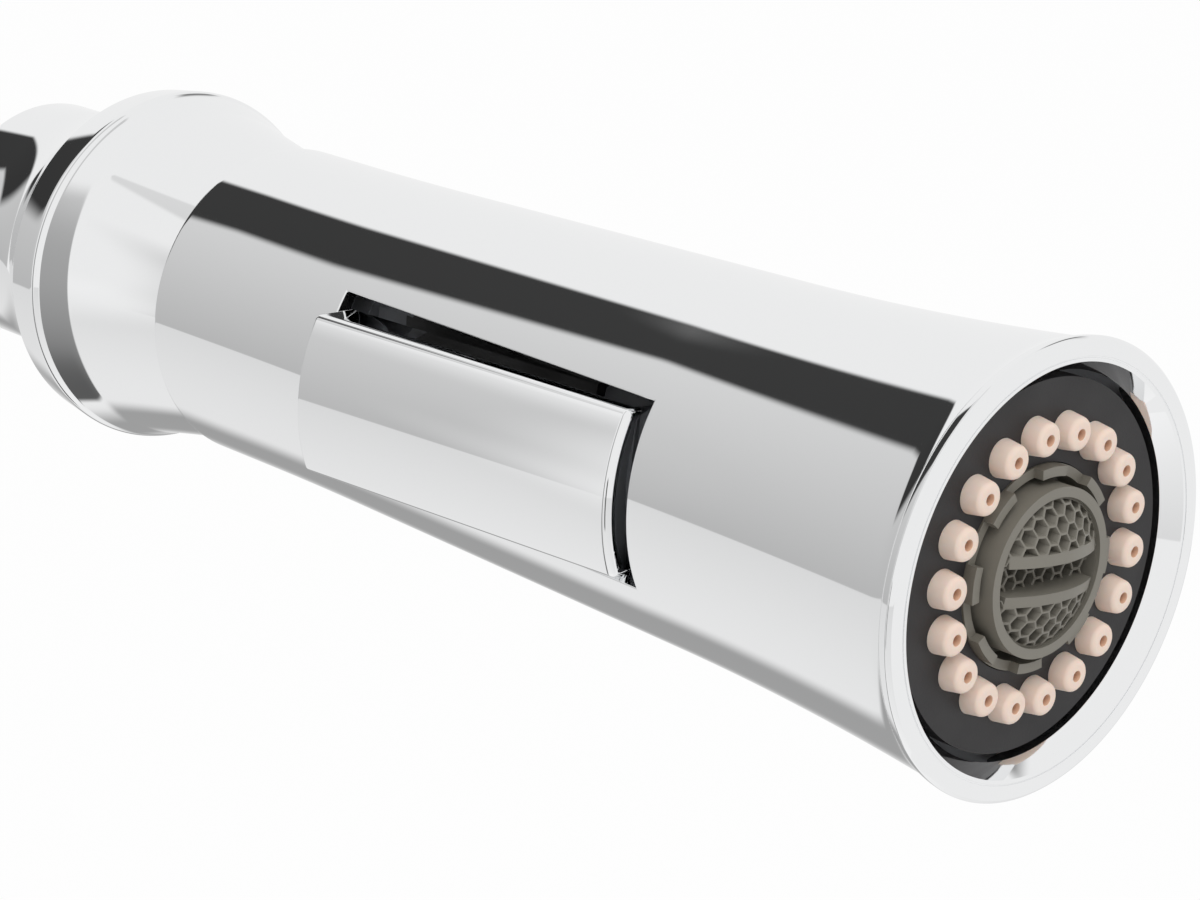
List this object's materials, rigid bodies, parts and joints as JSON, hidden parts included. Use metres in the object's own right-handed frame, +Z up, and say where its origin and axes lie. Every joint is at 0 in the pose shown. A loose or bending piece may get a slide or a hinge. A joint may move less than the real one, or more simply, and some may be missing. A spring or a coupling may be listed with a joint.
{
  "type": "pull-out faucet spray head",
  "caption": "Chrome pull-out faucet spray head with a flanged collar, a flared outlet, soft spray nozzles round a domed aerator, and a side rocker that switches stream and spray.",
  "frame": {"origin": "centre of the hose inlet's mouth, on the rear face of the collar", "axes": "+X runs along the axis from the hose inlet to the outlet; the rocker faces -Y; +Z is up"},
  "size_m": [0.1513, 0.0429, 0.042],
  "materials": {
    "chrome": "polished",
    "brass": "machined",
    "steel": "plain",
    "black_rubber": "matte",
    "peach_silicone": "matte",
    "dark_plate": "matte",
    "olive_plastic": "satin",
    "grey_plastic": "satin",
    "black_plastic": "satin"
  },
  "bodies": {
    "coupling": {"collar": "chrome", "swivel_stem": "brass", "stem_seal_rear": "black_rubber", "stem_seal_front": "black_rubber", "retaining_clip": "steel", "swivel_washer": "black_rubber", "hose_washer": "black_rubber", "inlet_strainer": "steel"},
    "head": {"head_shell": "chrome", "outlet_rim": "chrome", "spray_plate": "dark_plate", "nozzle_mat": "peach_silicone", "spray_chamber": "grey_plastic", "chamber_seal": "black_rubber", "port_seal": "black_rubber", "aerator_housing": "olive_plastic", "aerator_cup": "olive_plastic", "aerator_insert": "olive_plastic", "aerator_screens": "steel", "flow_regulator": "black_plastic", "aerator_seal": "black_rubber", "waterway_body": "grey_plastic", "diverter_seat": "brass", "inlet_bush": "brass", "bush_seal": "black_rubber", "check_housing": "black_plastic", "check_seal": "black_rubber", "check_spring": "steel", "rocker_frame": "black_plastic", "rocker_pin": "steel", "frame_screw_rear": "steel", "frame_screw_front": "steel"},
    "rocker": {"rocker_cap": "chrome", "rocker_lever": "grey_plastic"},
    "spool": {"diverter_spool": "brass", "spool_seal_rear": "black_rubber", "spool_seal_front": "black_rubber", "disc_seal_rear": "black_rubber", "disc_seal_front": "black_rubber"},
    "poppet": {"check_poppet": "grey_plastic"}
  },
  "joints": [
    {"name": "head_swivel", "type": "hinge", "parent": "coupling", "child": "head", "pos_m": [0.05, 0, 0], "axis": [1, 0, 0], "continuous": true},
    {"name": "rocker_pivot", "type": "hinge", "parent": "head", "child": "rocker", "pos_m": [0.094, -0.0134, 0], "axis": [0, 0, -1], "range_deg": [0, 12]},
    {"name": "spool_slide", "type": "slide", "parent": "head", "child": "spool", "axis": [1, 0, 0], "range_m": [0, 0.00218]},
    {"name": "check_slide", "type": "slide", "parent": "head", "child": "poppet", "axis": [1, 0, 0], "range_m": [0, 0.0018], "stiffness_N_per_m": 100, "springref_m": -0.002, "deforming": ["check_spring"]}
  ],
  "couplings": [
    {"joint": "rocker_pivot", "follows": "spool_slide", "rad_per_m": 96.16}
  ]
}
